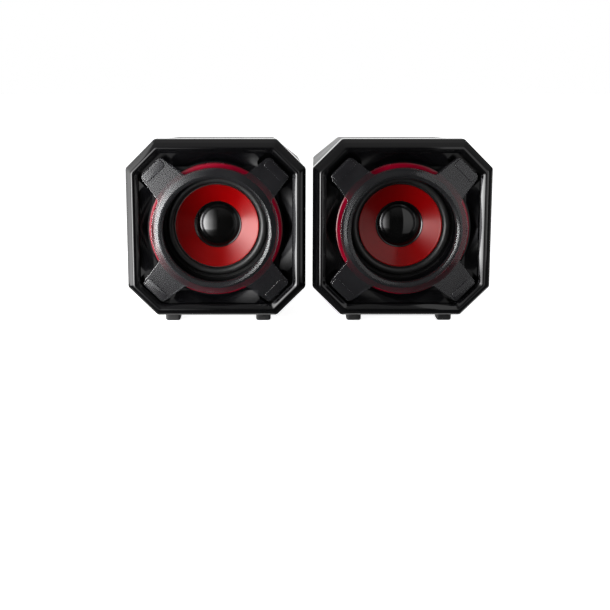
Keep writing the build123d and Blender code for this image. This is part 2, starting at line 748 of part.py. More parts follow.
def make_volume_control(centre_x):
    axis = driver_axis(centre_x, 0, KNOB_Z)
    plane = section_plane(centre_x)
    plane.origin += Vector(0, 0, KNOB_Z)
    with BuildPart() as pot:
        with BuildSketch(front_plane(centre_x, POT_BACK)):
            with Locations((0, KNOB_Z)):
                RectangleRounded(16, 17, 2)
        extrude(amount=POT_BACK - BOARD_BACK)
        with BuildSketch(plane):
            ring_face([(0, POT_BACK), (BUSH_R, POT_BACK), (BUSH_R, BUSH_BACK), (0, BUSH_BACK)])
        revolve(axis=axis)
        with BuildSketch(plane):
            ring_face([
                (0, BOARD_BACK + SHAFT_SOCKET), (SHAFT_R + SHAFT_PLAY, BOARD_BACK + SHAFT_SOCKET),
                (SHAFT_R + SHAFT_PLAY, BUSH_BACK + 1), (0, BUSH_BACK + 1),
            ])
        revolve(axis=axis, mode=Mode.SUBTRACT)
    write(pot, "right_volume_pot")
    with BuildPart() as shaft:
        with BuildSketch(plane):
            ring_face([
                (0, BOARD_BACK + SHAFT_SOCKET + 0.1), (SHAFT_R, BOARD_BACK + SHAFT_SOCKET + 0.1),
                (SHAFT_R, SHAFT_END), (0, SHAFT_END),
            ])
        revolve(axis=axis)
    write(shaft, "right_pot_shaft")
    with BuildPart() as nut:
        with BuildSketch(front_plane(centre_x, PANEL_BACK)):
            with Locations((0, KNOB_Z)):
                RegularPolygon(radius=5.0, side_count=6, major_radius=False)
                Circle(BUSH_R + 0.02, mode=Mode.SUBTRACT)
        extrude(amount=-1.6)
    write(nut, "right_pot_nut")
    with BuildPart() as knob:
        with BuildSketch(plane):
            ring_face([
                (SHAFT_R, KNOB_WEB), (KNOB_BORE_R, KNOB_WEB),
                (KNOB_BORE_R, KNOB_FRONT), (KNOB_R, KNOB_FRONT),
                (KNOB_R, KNOB_REACH - 1.0), (KNOB_R - 1.0, KNOB_REACH), (0, KNOB_REACH),
                (0, SHAFT_END), (SHAFT_R, SHAFT_END),
            ])
        revolve(axis=axis)
        with BuildSketch(front_plane(centre_x, KNOB_REACH)):
            with Locations((0, KNOB_Z)):
                with PolarLocations(KNOB_R + 0.25, KNOB_FLUTES, start_angle=90 + 180 / KNOB_FLUTES):
                    Circle(0.65)
        extrude(amount=KNOB_REACH - KNOB_FRONT - 1.2, mode=Mode.SUBTRACT)
        with BuildSketch(front_plane(centre_x, KNOB_REACH)):
            with Locations((0, KNOB_Z + 5.6)):
                SlotCenterToCenter(2.8, 1.0, rotation=90)
        extrude(amount=0.5, mode=Mode.SUBTRACT)
    write(knob, "right_volume_knob")


# --- build ----------------------------------------------------------------------------------

os.makedirs("parts", exist_ok=True)

scoop_tool = make_scoop_tool()
cover_arm = make_cover_arm()
pad_x = PAD_PLACE * sqrt(0.5)
cover_spots = [(pad_x * x, pad_x * z) for x in (-1, 1) for z in (-1, 1)]
driver_spots = [(FLANGE_SCREW * x, FLANGE_SCREW * z) for x in (-1, 1) for z in (-1, 1)]

for side, centre_x in (("left", -CENTRE_X), ("right", CENTRE_X)):
    make_bezel(side, centre_x)
    make_baffle(side, centre_x, scoop_tool)
    make_accent_ring(side, centre_x)
    make_cover(side, centre_x, cover_arm)
    make_screws(f"{side}_cover_screws", centre_x, cover_spots, BAFFLE_BACK, -2.0, 2.0, 0.9, 1.2)
    make_shell(side, centre_x)
    gland_spots = [(0, GLAND_Z)] if side == "left" else [(-GLAND_X, GLAND_Z), (GLAND_X, GLAND_Z)]
    make_rear_panel(side, centre_x, gland_spots, side == "right")
    make_screws(f"{side}_rear_screws", centre_x, post_spots(), PANEL_BACK, 64.0, 2.7, 1.2, 1.3)
    make_feet(side, centre_x)
    make_port(side, centre_x)
    make_gasket(side, centre_x)
    make_basket(side, centre_x)
    make_screws(f"{side}_driver_screws", centre_x, driver_spots, FLANGE_BACK, 1.8, 2.3, 1.1, 1.3)
    make_surround(side, centre_x)
    make_cone(side, centre_x)
    make_dust_cap(side, centre_x)
    make_former(side, centre_x)
    make_coil(side, centre_x)
    make_spider(side, centre_x)
    make_motor(side, centre_x)
    make_terminals(side, centre_x)

make_gland("left_link_gland", -CENTRE_X, 0)
make_gland("right_link_gland", CENTRE_X, -GLAND_X)
make_gland("right_input_gland", CENTRE_X, GLAND_X)
link_route = [(-8.0, 20.0, 36.0), (-15.0, 2.0, 46.0), (-8.0, -17.0, 57.0), (0, -25.0, 69.0)]
board_route = [(-8.0, 20.0, 33.0), (-16.0, 8.0, 42.0), (-18.0, -5.0, 54.0)]
make_wires("left", -CENTRE_X, link_route)
make_wires("right", CENTRE_X, board_route)
make_board(CENTRE_X)
make_volume_control(CENTRE_X)
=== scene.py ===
import bpy
import bmesh
from math import asin, cos, hypot, pi, radians, sin, sqrt, tan
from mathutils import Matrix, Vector
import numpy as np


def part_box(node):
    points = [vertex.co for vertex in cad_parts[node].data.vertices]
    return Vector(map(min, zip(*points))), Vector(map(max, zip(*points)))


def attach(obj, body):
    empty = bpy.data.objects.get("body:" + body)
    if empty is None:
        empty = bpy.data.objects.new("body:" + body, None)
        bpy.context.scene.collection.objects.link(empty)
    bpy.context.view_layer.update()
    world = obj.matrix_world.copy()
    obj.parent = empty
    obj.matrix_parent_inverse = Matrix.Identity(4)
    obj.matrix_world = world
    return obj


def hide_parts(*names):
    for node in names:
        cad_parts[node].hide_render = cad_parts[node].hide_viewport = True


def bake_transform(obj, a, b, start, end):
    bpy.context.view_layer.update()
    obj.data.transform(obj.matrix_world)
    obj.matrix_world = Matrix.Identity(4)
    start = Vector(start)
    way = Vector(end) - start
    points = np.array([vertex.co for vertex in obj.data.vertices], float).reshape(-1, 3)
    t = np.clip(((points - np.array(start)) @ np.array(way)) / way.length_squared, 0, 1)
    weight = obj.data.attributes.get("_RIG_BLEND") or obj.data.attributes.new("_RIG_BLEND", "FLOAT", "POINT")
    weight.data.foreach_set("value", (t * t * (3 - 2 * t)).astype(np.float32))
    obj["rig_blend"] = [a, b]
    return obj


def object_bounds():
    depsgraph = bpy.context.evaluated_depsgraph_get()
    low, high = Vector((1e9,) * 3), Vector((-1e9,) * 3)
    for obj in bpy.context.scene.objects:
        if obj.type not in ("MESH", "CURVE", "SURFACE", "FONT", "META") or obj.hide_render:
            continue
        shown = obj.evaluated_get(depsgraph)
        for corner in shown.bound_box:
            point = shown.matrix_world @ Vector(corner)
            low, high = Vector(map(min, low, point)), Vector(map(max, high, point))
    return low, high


# A pair of octagonal desktop loudspeakers. Lengths are written in millimetres and scaled by MM.
# "Depth" is measured backwards (+Y) from the parting plane, where a front bezel is widest.

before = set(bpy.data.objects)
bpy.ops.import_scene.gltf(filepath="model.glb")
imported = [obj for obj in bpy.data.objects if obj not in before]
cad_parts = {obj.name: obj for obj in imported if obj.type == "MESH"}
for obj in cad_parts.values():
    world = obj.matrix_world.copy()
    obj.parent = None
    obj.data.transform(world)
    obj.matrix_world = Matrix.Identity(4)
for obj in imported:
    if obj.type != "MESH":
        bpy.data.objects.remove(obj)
cad_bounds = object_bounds()

MM = 0.001
SIDES = ("left", "right")

# --- sizes shared with the frame --------------------------------------------------------------

FRONT_HALF = 43.0
CORNER_LEG = 14.0
BEZEL_BACK = 4.5
CABINET_BACK = 76.5
WALL = 2.4
REAR_HALF = 40.4
REAR_TOP = 37.6
REAR_LEG_X = 13.8
REAR_LEG_Z = 11.2
LEG_SHRINK = 2 - sqrt(2)
SHELL_STEP = 0.6
RING_STEPS = 160
ARC_STEPS = 6
SIDE_STEPS = 10


def speaker_place(side):
    """(x, parting y, z) of the driver's axis in millimetres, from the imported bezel."""
    low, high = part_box(f"{side}_front_bezel")
    return ((low.x + high.x) / 2 / MM, high.y / MM - BEZEL_BACK, (low.z + high.z) / 2 / MM)


PLACE = {side: speaker_place(side) for side in SIDES}


# --- mesh helpers -------------------------------------------------------------------------------

def soften(points, radius, steps=3):
    """Closed 2D outline with each corner turned into a short arc."""
    out = []
    count = len(points)
    for i in range(count):
        before = Vector(points[i - 1][:2])
        corner = Vector(points[i][:2])
        after = Vector(points[(i + 1) % count][:2])
        r = points[i][2] if len(points[i]) > 2 else radius
        to_before = before - corner
        to_after = after - corner
        if r <= 0 or to_before.length < 1e-6 or to_after.length < 1e-6:
            out.append(tuple(corner))
            continue
        a = to_before.normalized()
        b = to_after.normalized()
        half = a.angle(b) / 2
        if half > radians(88):
            out.append(tuple(corner))
            continue
        cut = min(r / tan(half), to_before.length * 0.48, to_after.length * 0.48)
        p, q = corner + a * cut, corner + b * cut
        for k in range(steps + 1):
            t = k / steps
            out.append(tuple(p.lerp(corner, t).lerp(corner.lerp(q, t), t)))
    return out


def finish_mesh(name, bm, body, material, replaced=(), sharp=32):
    """Turns a bmesh in millimetres into a piece that rides on a body."""
    bmesh.ops.remove_doubles(bm, verts=bm.verts, dist=1e-5)
    bmesh.ops.recalc_face_normals(bm, faces=bm.faces)
    bmesh.ops.scale(bm, vec=(MM, MM, MM), verts=bm.verts)
    mesh = bpy.data.meshes.new(name)
    bm.to_mesh(mesh)
    bm.free()
    for polygon in mesh.polygons:
        polygon.use_smooth = True
    mesh.set_sharp_from_angle(angle=radians(sharp))
    piece = bpy.data.objects.new(name, mesh)
    bpy.context.scene.collection.objects.link(piece)
    materials = material if isinstance(material, (list, tuple)) else [material]
    for m in materials:
        mesh.materials.append(m)
    if body:
        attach(piece, body)
    if replaced:
        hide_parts(*replaced)
    return piece


def add_rings(bm, rings, close_profile=False, cap_first=False, cap_last=False):
    """Quads between successive rings of the same number of points."""
    rows = [[bm.verts.new(p) for p in ring] for ring in rings]
    pairs = list(zip(rows, rows[1:]))
    if close_profile:
        pairs.append((rows[-1], rows[0]))
    for a, b in pairs:
        count = len(a)
        for i in range(count):
            j = (i + 1) % count
            bm.faces.new((a[i], a[j], b[j], b[i]))
    if cap_first:
        bm.faces.new(list(reversed(rows[0])))
    if cap_last:
        bm.faces.new(rows[-1])
    return rows


def lathe_rings(profile, place, steps=RING_STEPS):
    """Rings of a (radius, depth) profile turned about an axis along Y."""
    x0, y0, z0 = place
    rings = []
    for radius, depth in profile:
        ring = []
        for k in range(steps):
            angle = 2 * pi * k / steps
            ring.append((x0 + radius * cos(angle), y0 + depth, z0 + radius * sin(angle)))
        rings.append(ring)
    return rings


def lathe(bm, profile, place):
    add_rings(bm, lathe_rings(profile, place), close_profile=True)


def octagon(half, top, bottom, leg_x, leg_z, rounding):
    """Rounded octagon as a closed list of (x, z) points, always with the same count."""
    corners = [
        (half, bottom + leg_z), (half, top - leg_z), (half - leg_x, top), (-half + leg_x, top),
        (-half, top - leg_z), (-half, bottom + leg_z), (-half + leg_x, bottom), (half - leg_x, bottom),
    ]
    arcs = []
    for i, corner in enumerate(corners):
        c = Vector(corner)
        a = (Vector(corners[i - 1]) - c).normalized()
        b = (Vector(corners[(i + 1) % 8]) - c).normalized()
        cut = rounding * tan(radians(22.5))
        p, q = c + a * cut, c + b * cut
        fractions = [k / ARC_STEPS for k in range(ARC_STEPS + 1)]
        arcs.append([p.lerp(c, t).lerp(c.lerp(q, t), t) for t in fractions])
    points = []
    for i, arc in enumerate(arcs):
        points += [tuple(p) for p in arc]
        start, end = arc[-1], arcs[(i + 1) % 8][0]
        points += [tuple(start.lerp(end, k / SIDE_STEPS)) for k in range(1, SIDE_STEPS)]
    return points


def front_octagon(inset, rounding):
    half = FRONT_HALF - inset
    leg = CORNER_LEG - inset * LEG_SHRINK
    return octagon(half, half, -half, leg, leg, rounding)


def cabinet_octagon(depth, inset, rounding):
    """The cabinet's outline at a depth: it tapers towards the rear, and its underside stays level."""
    t = (depth - BEZEL_BACK) / (CABINET_BACK - BEZEL_BACK)
    front_half = FRONT_HALF - SHELL_STEP
    front_leg = CORNER_LEG - SHELL_STEP * LEG_SHRINK
    half = front_half + (REAR_HALF - front_half) * t - inset
    top = front_half + (REAR_TOP - front_half) * t - inset
    leg_x = front_leg + (REAR_LEG_X - front_leg) * t - inset * LEG_SHRINK
    leg_z = front_leg + (REAR_LEG_Z - front_leg) * t - inset * LEG_SHRINK
    return octagon(half, top, -front_half + inset, leg_x, leg_z, rounding)


def placed(outline, place, depth):
    x0, y0, z0 = place
    return [(x0 + x, y0 + depth, z0 + z) for x, z in outline]


# --- materials ------------------------------------------------------------------------------------

CLOUD_SCALE = 60.0
SMOKE_DARK = (0.02, 0.02, 0.022)
SMOKE_LIGHT = (0.03, 0.03, 0.032)


def new_material(name):
    material = bpy.data.materials.new(name)
    material.use_nodes = True
    nodes = material.node_tree.nodes
    nodes.clear()
    output = nodes.new("ShaderNodeOutputMaterial")
    shader = nodes.new("ShaderNodeBsdfPrincipled")
    material.node_tree.links.new(shader.outputs["BSDF"], output.inputs["Surface"])
    return material, nodes, material.node_tree.links, shader, output


def set_values(shader, **values):
    for name, value in values.items():
        shader.inputs[name.replace("_", " ")].default_value = value


def object_noise(nodes, links, scale, detail=3.0):
    """Noise in object coordinates, in metres."""
    coordinates = nodes.new("ShaderNodeTexCoord")
    noise = nodes.new("ShaderNodeTexNoise")
    noise.inputs["Scale"].default_value = scale
    noise.inputs["Detail"].default_value = detail
    noise.inputs["Roughness"].default_value = 0.55
    links.new(coordinates.outputs["Object"], noise.inputs["Vector"])
    return noise.outputs["Fac"]


def ranged(nodes, links, value, low, high):
    node = nodes.new("ShaderNodeMapRange")
    node.inputs["From Min"].default_value = 0.3
    node.inputs["From Max"].default_value = 0.7
    node.inputs["To Min"].default_value = low
    node.inputs["To Max"].default_value = high
    links.new(value, node.inputs["Value"])
    return node.outputs["Result"]


def tinted(nodes, links, value, first, second):
    ramp = nodes.new("ShaderNodeValToRGB")
    ramp.color_ramp.elements[0].position = 0.3
    ramp.color_ramp.elements[1].position = 0.7
    ramp.color_ramp.elements[0].color = (*first, 1)
    ramp.color_ramp.elements[1].color = (*second, 1)
    links.new(value, ramp.inputs["Fac"])
    return ramp.outputs["Color"]


def bumped(nodes, links, shader, height, distance, strength=1.0):
    bump = nodes.new("ShaderNodeBump")
    bump.inputs["Distance"].default_value = distance
    bump.inputs["Strength"].default_value = strength
    links.new(height, bump.inputs["Height"])
    links.new(bump.outputs["Normal"], shader.inputs["Normal"])


def plastic(name, dark, light, rough, grain_scale, grain_depth, strength=1.0, **values):
    """Moulded plastic, rubber or lacquer: cloudy colour, uneven roughness and a fine grain."""
    material, nodes, links, shader, _ = new_material(name)
    cloud = object_noise(nodes, links, CLOUD_SCALE)
    links.new(tinted(nodes, links, cloud, dark, light), shader.inputs["Base Color"])
    links.new(ranged(nodes, links, cloud, rough[0], rough[1]), shader.inputs["Roughness"])
    grain = object_noise(nodes, links, grain_scale, detail=2.0)
    bumped(nodes, links, shader, grain, grain_depth, strength)
    set_values(shader, **values)
    return material


def smoked_plastic():
    """Smoked see-through plastic: part of the light passes through tinted, and both faces reflect."""
    material, nodes, links, shader, output = new_material("smoked_plastic")
    wear = object_noise(nodes, links, 140.0)
    links.new(tinted(nodes, links, wear, SMOKE_DARK, SMOKE_LIGHT), shader.inputs["Base Color"])
    links.new(ranged(nodes, links, wear, 0.14, 0.17), shader.inputs["Roughness"])
    set_values(shader, IOR=1.75)
    see = nodes.new("ShaderNodeBsdfTransparent")
    see.inputs["Color"].default_value = (0.72, 0.72, 0.74, 1)
    mix = nodes.new("ShaderNodeMixShader")
    mix.inputs["Fac"].default_value = 0.42
    links.new(see.outputs["BSDF"], mix.inputs[1])
    links.new(shader.outputs["BSDF"], mix.inputs[2])
    links.new(mix.outputs["Shader"], output.inputs["Surface"])
    return material


def make_materials():
    return {
        "gloss_black": plastic(
            "gloss_black", (0.0015, 0.0015, 0.0018), (0.003, 0.003, 0.0034), (0.06, 0.1), 900.0, 0.000003,
            IOR=1.5),
        "baffle_black": plastic(
            "baffle_black", (0.0015, 0.0015, 0.002), (0.003, 0.003, 0.0035), (0.16, 0.22), 700.0, 0.000003,
            IOR=1.33),
        "smoked_plastic": smoked_plastic(),
        "accent_red": plastic(
            "accent_red", (0.22, 0.0, 0.012), (0.28, 0.001, 0.018), (0.12, 0.2), 500.0, 0.000004, IOR=1.49),
        # darker copy of the accent red: painted shade for the ring's outer side and chamfer
        "accent_edge_painted_shade": plastic(
            "accent_edge_painted_shade", (0.10, 0.0, 0.006), (0.16, 0.0, 0.01), (0.2, 0.3), 500.0, 0.000008),
        "cone_red": plastic(
            "cone_red", (0.20, 0.0, 0.0), (0.24, 0.0, 0.001), (0.17, 0.21), 1400.0, 0.000003, IOR=1.42,
            Specular_Tint=(1.0, 0.68, 0.66, 1.0)),
        "cap_black": plastic(
            "cap_black", (0.0015, 0.0015, 0.0015), (0.003, 0.003, 0.003), (0.06, 0.1), 900.0, 0.000004,
            IOR=1.5),
        "surround_rubber": plastic(
            "surround_rubber", (0.006, 0.006, 0.006), (0.012, 0.012, 0.012), (0.34, 0.46), 1800.0, 0.00002,
            IOR=1.5),
        "cabinet_black": plastic(
            "cabinet_black", (0.012, 0.012, 0.013), (0.02, 0.02, 0.021), (0.34, 0.44), 3200.0, 0.00006,
            strength=0.55, IOR=1.5),
        "panel_black": plastic(
            "panel_black", (0.010, 0.010, 0.011), (0.017, 0.017, 0.018), (0.4, 0.5), 2600.0, 0.00005,
            strength=0.5, IOR=1.5),
        "foot_rubber": plastic(
            "foot_rubber", (0.004, 0.004, 0.004), (0.009, 0.009, 0.009), (0.55, 0.7), 1500.0, 0.00003),
        "port_black": plastic(
            "port_black", (0.006, 0.006, 0.006), (0.011, 0.011, 0.011), (0.2, 0.3), 1200.0, 0.00001),
        "gland_rubber": plastic(
            "gland_rubber", (0.006, 0.006, 0.006), (0.012, 0.012, 0.012), (0.45, 0.6), 1500.0, 0.00002),
        "knob_black": plastic(
            "knob_black", (0.008, 0.008, 0.008), (0.014, 0.014, 0.014), (0.28, 0.38), 1600.0, 0.00002),
        "black_screws": plastic(
            "black_screws", (0.015, 0.015, 0.015), (0.03, 0.03, 0.03), (0.3, 0.42), 900.0, 0.00001,
            Metallic=0.9),
        "zinc_steel": plastic(
            "zinc_steel", (0.48, 0.48, 0.46), (0.62, 0.62, 0.6), (0.24, 0.4), 900.0, 0.00001, Metallic=1.0),
        "basket_steel": plastic(
            "basket_steel", (0.012, 0.012, 0.012), (0.022, 0.022, 0.022), (0.35, 0.5), 900.0, 0.00001),
        "ferrite": plastic(
            "ferrite", (0.035, 0.035, 0.038), (0.06, 0.06, 0.064), (0.5, 0.7), 900.0, 0.00003),
        "foam": plastic("foam", (0.015, 0.015, 0.015), (0.03, 0.03, 0.03), (0.8, 0.95), 1600.0, 0.00008),
        "spider_cloth": plastic(
            "spider_cloth", (0.5, 0.33, 0.1), (0.62, 0.43, 0.15), (0.7, 0.85), 2200.0, 0.00005),
        "former_aluminium": plastic(
            "former_aluminium", (0.6, 0.6, 0.6), (0.75, 0.75, 0.75), (0.25, 0.35), 900.0, 0.00001,
            Metallic=1.0),
        "coil_copper": plastic(
            "coil_copper", (0.5, 0.2, 0.07), (0.65, 0.3, 0.12), (0.3, 0.4), 2600.0, 0.00002, Metallic=1.0),
        "phenolic": plastic("phenolic", (0.2, 0.09, 0.03), (0.28, 0.13, 0.05), (0.4, 0.5), 900.0, 0.00001),
        "wire_red": plastic(
            "wire_red", (0.35, 0.01, 0.01), (0.45, 0.015, 0.015), (0.35, 0.45), 900.0, 0.00001),
        "board_green": plastic(
            "board_green", (0.01, 0.09, 0.03), (0.015, 0.13, 0.045), (0.25, 0.4), 900.0, 0.00001),
        "board_parts": plastic(
            "board_parts", (0.012, 0.012, 0.02), (0.02, 0.02, 0.03), (0.3, 0.4), 900.0, 0.00001),
        "pot_metal": plastic(
            "pot_metal", (0.42, 0.42, 0.4), (0.55, 0.55, 0.53), (0.25, 0.4), 900.0, 0.00001, Metallic=1.0),
    }


MATERIALS = make_materials()


# --- front pieces ---------------------------------------------------------------------------------

FACET_INSET = 1.55
FACET_DEPTH = -3.1
CREST_INSET = 3.75
CREST_DEPTH = -6.05
CREST_ROUND = 1.3
OPENING_INSET = 6.5
OPENING_DEPTH = -3.9
POCKET_INSET = 3.4
POCKET_DEPTH = -1.0
OUTER_ROUND = 2.2
OPENING_ROUND = 1.4
ACCENT_INNER = 28.9
ACCENT_OUTER = 31.9
ACCENT_BACK = -1.8
ACCENT_FRONT = -3.0
# radius beyond which the accent ring gets the darker red of painted shade
PAINTED_SHADE_START = 31.35


def make_bezel(side, place):
    """Octagonal frame: (inset, depth, corner radius) profile swept round the front."""
    profile = soften([
        (0.0, BEZEL_BACK, 0.35), (0.0, -0.1, 1.2),
        (FACET_INSET, FACET_DEPTH, 6.0), (CREST_INSET, CREST_DEPTH, CREST_ROUND),
        (OPENING_INSET, OPENING_DEPTH, 0.6), (OPENING_INSET, POCKET_DEPTH, 0.0),
        (POCKET_INSET, POCKET_DEPTH, 0.0), (POCKET_INSET, BEZEL_BACK, 0.0),
    ], 0.3, 5)
    rings = []
    for inset, depth in profile:
        rounding = OUTER_ROUND if inset < 5 else OPENING_ROUND
        rings.append(placed(front_octagon(inset, rounding), place, depth))
    bm = bmesh.new()
    add_rings(bm, rings, close_profile=True)
    finish_mesh(f"{side}_bezel_shell", bm, f"{side}_speaker", MATERIALS["gloss_black"],
                [f"{side}_front_bezel"])


def make_accent_ring(side, place):
    profile = soften([
        (ACCENT_INNER, ACCENT_BACK), (ACCENT_OUTER, ACCENT_BACK), (ACCENT_OUTER, ACCENT_FRONT + 0.3),
        (ACCENT_OUTER - 0.45, ACCENT_FRONT), (ACCENT_INNER, ACCENT_FRONT),
    ], 0.12, 2)
    bm = bmesh.new()
    lathe(bm, profile, place)
    # faces beyond this radius get the darker red: painted shade on the ring's outward-facing edge
    for face in bm.faces:
        middle = face.calc_center_median()
        radius = hypot(middle.x - place[0], middle.z - place[2])
        face.material_index = 1 if radius > PAINTED_SHADE_START else 0
    finish_mesh(f"{side}_glow_ring", bm, f"{side}_speaker",
                [MATERIALS["accent_red"], MATERIALS["accent_edge_painted_shade"]], [f"{side}_accent_ring"])


COVER_FRONT = -9.5
COVER_THICK = 2.4
COVER_INNER = 24.9
COVER_FLAT = 26.7
COVER_OUTER = 30.1
ARM_ROOT_HALF = 8.7
ARM_END_T = 43.0
ARM_END_HALF = 6.8
ARM_END_ROUND = 1.7
ARM_SQUARE_T = 31.5
RIM_DEPTH = -8.2
ARM_END_DEPTH = -6.5
EDGE = 0.32
PAD_T = 40.5
PAD_HALF_T = 2.2
PAD_HALF_S = 6.1
PAD_ROUND = 1.6
POST_FRONT = -4.4
POST_BACK = 2.3
END_ROWS = 9
SIDE_FRACTIONS = (0.0, 0.2, 0.4, 0.55, 0.66, 0.72, 0.77, 0.81, 0.85, 0.89, 0.93, 0.96, 0.985, 1.0)


def smooth(low, high, value):
    t = min(1.0, max(0.0, (value - low) / (high - low)))
    return t * t * (3 - 2 * t)


def steps_between(low, high, size):
    count = max(1, round((high - low) / size))
    return [low + (high - low) * k / count for k in range(1, count + 1)]


def arm_half(t):
    """Half width of an arm, flared into the ring at its root."""
    straight = ARM_ROOT_HALF + (ARM_END_HALF - ARM_ROOT_HALF) * (t - 28.0) / (ARM_END_T - 28.0)
    flare = max(0.0, 1 - (t - 28.4) / 1.6)
    return straight - EDGE + 0.9 * flare * flare


def arm_end(s):
    """How far the arm reaches at a distance s from its middle, with rounded end corners."""
    radius = ARM_END_ROUND - EDGE
    half = ARM_END_HALF - EDGE
    over = min(max(abs(s) - (half - radius), 0.0), radius)
    return ARM_END_T - EDGE - radius + sqrt(radius * radius - over * over)


def arm_depth(t):
    return RIM_DEPTH + (ARM_END_DEPTH - RIM_DEPTH) * (t - COVER_OUTER) / (ARM_END_T - COVER_OUTER)


def cover_front_depth(x, z):
    """Front surface of the cover: conical ring, then arms that slope back."""
    along = (abs(x) + abs(z)) / sqrt(2)
    radius = hypot(x, z)
    slope = (RIM_DEPTH - COVER_FRONT) / (COVER_OUTER - COVER_FLAT)
    ring = COVER_FRONT + slope * (min(radius, COVER_OUTER) - COVER_FLAT)
    return ring + (arm_depth(along) - ring) * smooth(COVER_OUTER - 1.5, COVER_OUTER + 0.8, radius)


def arm_rows():
    return steps_between(ARM_SQUARE_T, 41.2, 0.8)


def cover_columns():
    """Points of the cover's front in plan, as columns running outwards; arm columns are longer."""
    root_r = COVER_OUTER - EDGE
    radii = [COVER_FLAT + 0.12 + (root_r - COVER_FLAT - 0.12) * k / 7 for k in range(8)]
    root_half = arm_half(28.4)
    root_angle = asin(root_half / root_r)
    fractions = [-f for f in reversed(SIDE_FRACTIONS[1:])] + list(SIDE_FRACTIONS)
    columns = []
    for number in range(4):
        turn = pi / 4 + number * pi / 2
        c, s = cos(turn), sin(turn)
        for f in fractions:
            angle = asin(f * root_half / root_r)
            column = [(r * cos(turn + angle), r * sin(turn + angle)) for r in radii]
            start = (root_r * cos(angle), root_r * sin(angle))
            square = (ARM_SQUARE_T, f * arm_half(ARM_SQUARE_T))
            points = []
            for k in range(1, 5):
                t = start[0] + (square[0] - start[0]) * k / 4
                points.append((t, f * arm_half(t) if k < 4 else square[1]))
            points += [(t, f * arm_half(t)) for t in arm_rows()]
            last_t, last_s = points[-1]
            end_s = f * (ARM_END_HALF - EDGE)
            end_t = arm_end(end_s)
            for k in range(1, END_ROWS + 1):
                share = k / END_ROWS
                points.append((last_t + (end_t - last_t) * share, last_s + (end_s - last_s) * share))
            column += [(c * t - s * q, s * t + c * q) for t, q in points]
            columns.append(column)
        gap = pi / 2 - 2 * root_angle
        for k in range(1, 20):
            angle = turn + root_angle + gap * k / 20
            columns.append([(r * cos(angle), r * sin(angle)) for r in radii])
    return columns


def outline_of(columns):
    """Outer edge of the sheet: along each arm's side, across its end and back, then along the ring."""
    short = min(len(column) for column in columns)
    loop = []
    count = len(columns)
    for i, column in enumerate(columns):
        before = len(columns[i - 1]) > short
        after = len(columns[(i + 1) % count]) > short
        if len(column) == short:
            loop.append((i, short - 1))
        elif not before:
            loop += [(i, j) for j in range(short - 1, len(column))]
        elif not after:
            loop += [(i, j) for j in range(len(column) - 1, short - 2, -1)]
        else:
            loop.append((i, len(column) - 1))
    return loop


def make_cover(side, place):
    columns = cover_columns()
    x0, y0, z0 = place
    bm = bmesh.new()

    def vertex(x, z, depth):
        return bm.verts.new((x0 + x, y0 + depth, z0 + z))

    front = []
    back = []
    for column in columns:
        front.append([vertex(x, z, cover_front_depth(x, z)) for x, z in column])
        back.append([vertex(x, z, cover_front_depth(x, z) + COVER_THICK) for x, z in column])
    count = len(columns)
    for sheet in (front, back):
        for i in range(count):
            a, b = sheet[i], sheet[(i + 1) % count]
            for j in range(min(len(a), len(b)) - 1):
                bm.faces.new((a[j], a[j + 1], b[j + 1], b[j]))
    # rounded outer edge
    loop = outline_of(columns)
    flat = [Vector(columns[i][j]) for i, j in loop]
    normals = []
    for k in range(len(flat)):
        run = (flat[(k + 1) % len(flat)] - flat[k - 1]).normalized()
        normals.append(Vector((run.y, -run.x)))
    rings = [[front[i][j] for i, j in loop]]
    for out, drop in ((0.17, 0.05), (0.28, 0.16), (EDGE, 0.34), (EDGE, COVER_THICK - 0.2)):
        ring = []
        for point, normal in zip(flat, normals):
            x, z = point + normal * out
            ring.append(vertex(x, z, cover_front_depth(*point) + drop))
        rings.append(ring)
    rings.append([back[i][j] for i, j in loop])
    for a, b in zip(rings, rings[1:]):
        for k in range(len(a)):
            m = (k + 1) % len(a)
            bm.faces.new((a[k], a[m], b[m], b[k]))
    # bevel, inner wall and skirt
    directions = [Vector(column[0]).normalized() for column in columns]
    inner = [[column[0] for column in front]]
    for radius, depth in (
        (COVER_FLAT - 0.12, COVER_FRONT + 0.06), (COVER_INNER + 0.3, -8.35), (COVER_INNER + 0.05, -8.1),
        (COVER_INNER, -7.8), (COVER_INNER, -5.7), (COVER_INNER + 0.2, -5.5), (COVER_INNER + 1.3, -5.5),
        (COVER_INNER + 1.3, COVER_FRONT + COVER_THICK),
    ):
        inner.append([vertex(*(d * radius), depth) for d in directions])
    inner.append([column[0] for column in back])
    for a, b in zip(inner, inner[1:]):
        for k in range(count):
            m = (k + 1) % count
            bm.faces.new((a[k], a[m], b[m], b[k]))
    # low pads on the arm ends, and the posts behind them
    for number in range(4):
        turn = pi / 4 + number * pi / 2
        c, s = cos(turn), sin(turn)
        low_t, high_t = PAD_T - PAD_HALF_T, PAD_T + PAD_HALF_T
        post = soften([
            (low_t, -PAD_HALF_S), (high_t, -PAD_HALF_S), (high_t, PAD_HALF_S), (low_t, PAD_HALF_S),
        ], PAD_ROUND, 5)
        loops = []
        for depth in (POST_FRONT, POST_BACK):
            loops.append([(x0 + c * p - s * q, y0 + depth, z0 + s * p + c * q) for p, q in post])
        add_rings(bm, loops, cap_first=True, cap_last=True)
        loops = []
        for inset, rise in ((0.0, -0.3), (0.0, 0.12), (0.08, 0.26), (0.22, 0.34), (0.45, 0.38)):
            pad = soften([
                (low_t + inset, inset - PAD_HALF_S), (high_t - inset, inset - PAD_HALF_S),
                (high_t - inset, PAD_HALF_S - inset), (low_t + inset, PAD_HALF_S - inset),
            ], PAD_ROUND - inset, 6)
            loops.append([
                (x0 + c * p - s * q, y0 + arm_depth(p) - rise, z0 + s * p + c * q) for p, q in pad])
        add_rings(bm, loops, cap_first=True, cap_last=True)
    finish_mesh(f"{side}_cross_cover", bm, f"{side}_speaker", MATERIALS["smoked_plastic"],
                [f"{side}_smoked_cover"], sharp=40)


# --- driver ---------------------------------------------------------------------------------------

